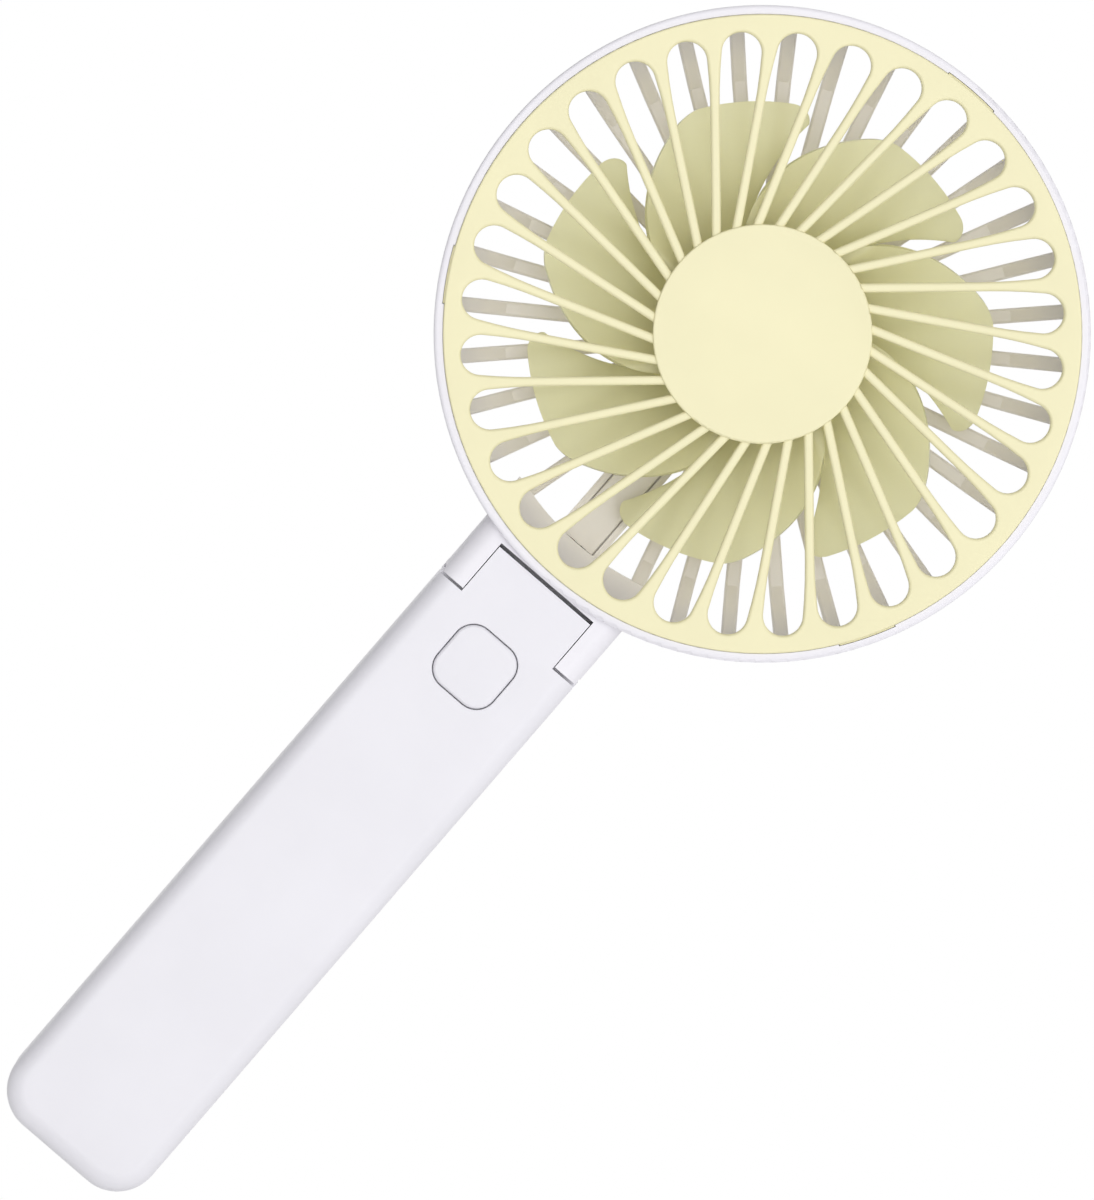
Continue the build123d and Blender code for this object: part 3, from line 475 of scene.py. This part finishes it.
def board_mask():
    """Green solder mask with slightly raised tracks under it."""
    material, nodes, links, shader = new_material("board_mask")
    place = nodes.new("ShaderNodeTexCoord")
    tracks = nodes.new("ShaderNodeTexBrick")
    tracks.inputs["Scale"].default_value = 450
    tracks.inputs["Mortar Size"].default_value = 0.09
    tracks.inputs["Color1"].default_value = (0.012, 0.11, 0.035, 1)
    tracks.inputs["Color2"].default_value = (0.016, 0.13, 0.042, 1)
    tracks.inputs["Mortar"].default_value = (0.03, 0.22, 0.07, 1)
    flat = nodes.new("ShaderNodeMapping")
    flat.inputs["Rotation"].default_value = (math.radians(90), 0, 0)
    links.new(place.outputs["Object"], flat.inputs["Vector"])
    links.new(flat.outputs["Vector"], tracks.inputs["Vector"])
    links.new(tracks.outputs["Color"], shader.inputs["Base Color"])
    fine_relief(nodes, links, tracks, shader, 0.4, 0.00003)
    uneven_gloss(nodes, links, noise(nodes, links, 500), shader, 0.28, 0.06)
    shader.inputs["Coat Weight"].default_value = 0.3
    return material


finish_node(board_mask(), "circuit_board")
finish_node(screw_zinc, "board_screws", "shell_screws")
chip_epoxy = moulded_plastic(
    "chip_epoxy", (0.03, 0.03, 0.032), 0.55, grain=0.0003, relief=0.5, shade=0.8
)
finish_node(chip_epoxy, "control_chip", "port_contact_blade", "tact_switch")
part_ceramic = moulded_plastic(
    "part_ceramic", (0.42, 0.33, 0.22), 0.45, grain=0.0005, relief=0.3, shade=0.8
)
finish_node(part_ceramic, "board_components")
socket_steel = metal("socket_steel", (0.62, 0.62, 0.63), (0.78, 0.78, 0.79), 0.24, stretch=(6, 1, 1))
finish_node(socket_steel, "charging_port")

# ---------------------------------------------------------------------------
# Handle and button. Two white ABS half shells joined by four screws from the
# back; the rounded square button stands a hair proud of the front.
# ---------------------------------------------------------------------------
rear_shell = moulding("handle_rear_shell", "rear_shell_moulding", white_abs, "handle")
front_shell = moulding("handle_front_shell", "front_shell_moulding", white_abs, "handle")

power_button = moulding("power_button", "power_button_cap", white_abs, "button")
finish_node(moulded_plastic("plunger_nylon", (0.04, 0.04, 0.042), 0.40), "switch_plunger")

# ---------------------------------------------------------------------------
# Studio. A pale floor well below the hand-held fan, and a white surround that is
# brighter in front and from the fan's right. The camera is rolled, so the fan leans.
# ---------------------------------------------------------------------------
floor_level = -0.30
floor_radius = 1.0


def floor_paint():
    """Matt pale paint, clear from below so that the fan can be seen from there."""
    material, nodes, links, shader = new_material("floor_paint")
    tones = two_tones(nodes, links, noise(nodes, links, 8), (0.86, 0.86, 0.86), (0.90, 0.90, 0.90))
    links.new(tones.outputs["Color"], shader.inputs["Base Color"])
    shader.inputs["Roughness"].default_value = 0.9
    underside = nodes.new("ShaderNodeNewGeometry")
    clear = nodes.new("ShaderNodeBsdfTransparent")
    one_way = nodes.new("ShaderNodeMixShader")
    links.new(underside.outputs["Backfacing"], one_way.inputs["Fac"])
    links.new(shader.outputs["BSDF"], one_way.inputs[1])
    links.new(clear.outputs["BSDF"], one_way.inputs[2])
    links.new(one_way.outputs["Shader"], nodes["Material Output"].inputs["Surface"])
    return material


bpy.ops.object.select_all(action="DESELECT")
bpy.ops.mesh.primitive_circle_add(vertices=128, radius=floor_radius, fill_type="NGON",
                                  location=(0, 0, floor_level))
floor = bpy.context.object
floor.name = "studio_floor"
floor.data.materials.append(floor_paint())

world = bpy.data.worlds.new("white_surround")
bpy.context.scene.world = world
world.use_nodes = True
nodes = world.node_tree.nodes
links = world.node_tree.links
direction = nodes.new("ShaderNodeTexCoord")


def turned_to(aim, low, high, at_low, at_high):
    """A level that changes between two values as a direction turns towards an aim.

    low and high are cosines of the angle between the direction and the aim.
    """
    facing = nodes.new("ShaderNodeVectorMath")
    facing.operation = "DOT_PRODUCT"
    facing.inputs[1].default_value = Vector(aim).normalized()
    links.new(direction.outputs["Generated"], facing.inputs[0])
    level = nodes.new("ShaderNodeMapRange")
    level.interpolation_type = "SMOOTHSTEP"
    level.inputs["From Min"].default_value = low
    level.inputs["From Max"].default_value = high
    level.inputs["To Min"].default_value = at_low
    level.inputs["To Max"].default_value = at_high
    links.new(facing.outputs["Value"], level.inputs["Value"])
    return level.outputs["Result"]


def total(first, second):
    """Sum of two levels."""
    joined = nodes.new("ShaderNodeMath")
    links.new(first, joined.inputs[0])
    links.new(second, joined.inputs[1])
    return joined.outputs["Value"]


# What the camera sees: white behind the front of the fan, pale grey all round
seen = nodes["Background"]
seen.inputs["Color"].default_value = (1, 1, 1, 1)
links.new(turned_to((0, 1, 0), 0.80, 0.985, 0.74, 1.0), seen.inputs["Strength"])

# What lights the fan: a soft surround, light from its right and back, and a softbox in front
lighting = nodes.new("ShaderNodeBackground")
lighting.inputs["Color"].default_value = (1, 1, 1, 1)
surround = turned_to((0.85, 0.0, 0.28), -1.0, -0.45, 0.06, 0.60)
side_light = turned_to((1, -0.2, 0.3), 0.35, 1.0, 0.0, 0.28)
back_light = turned_to((0, 1, 0.1), 0.20, 1.0, 0.0, 0.40)
softbox = turned_to((0.10, -1, 0.12), 0.70, 0.97, 0.0, 1.75)
links.new(total(total(surround, side_light), total(back_light, softbox)), lighting.inputs["Strength"])
ray = nodes.new("ShaderNodeLightPath")
choose = nodes.new("ShaderNodeMixShader")
links.new(ray.outputs["Is Camera Ray"], choose.inputs["Fac"])
links.new(lighting.outputs["Background"], choose.inputs[1])
links.new(seen.outputs["Background"], choose.inputs[2])
links.new(choose.outputs["Shader"], nodes["World Output"].inputs["Surface"])

# Camera: distances in metres, angles in degrees
picture_height = 1200
points_per_metre = 6576
camera_distance = 1.6
lean = 40.8
head_face = Vector((0, -13 * mm, fan_z))
toward_camera = Vector((-0.0238, -1, -0.0205)).normalized()
camera_at = head_face + camera_distance * toward_camera
aim_at = Vector((1.6 * mm, -13 * mm, 63 * mm))
camera_data = bpy.data.cameras.new("camera")
camera = bpy.data.objects.new("camera", camera_data)
bpy.context.scene.collection.objects.link(camera)
camera_data.sensor_width = 36
camera_data.lens = points_per_metre * camera_distance * camera_data.sensor_width / picture_height
back = (camera_at - aim_at).normalized()
right = Vector((0, 0, 1)).cross(back).normalized()
turn = Matrix.Rotation(math.radians(lean), 3, back)
axes = Matrix((turn @ right, turn @ back.cross(right), back)).transposed()
camera.matrix_world = Matrix.Translation(camera_at) @ axes.to_4x4()
bpy.context.scene.camera = camera

bpy.context.scene.view_settings.view_transform = "Standard"
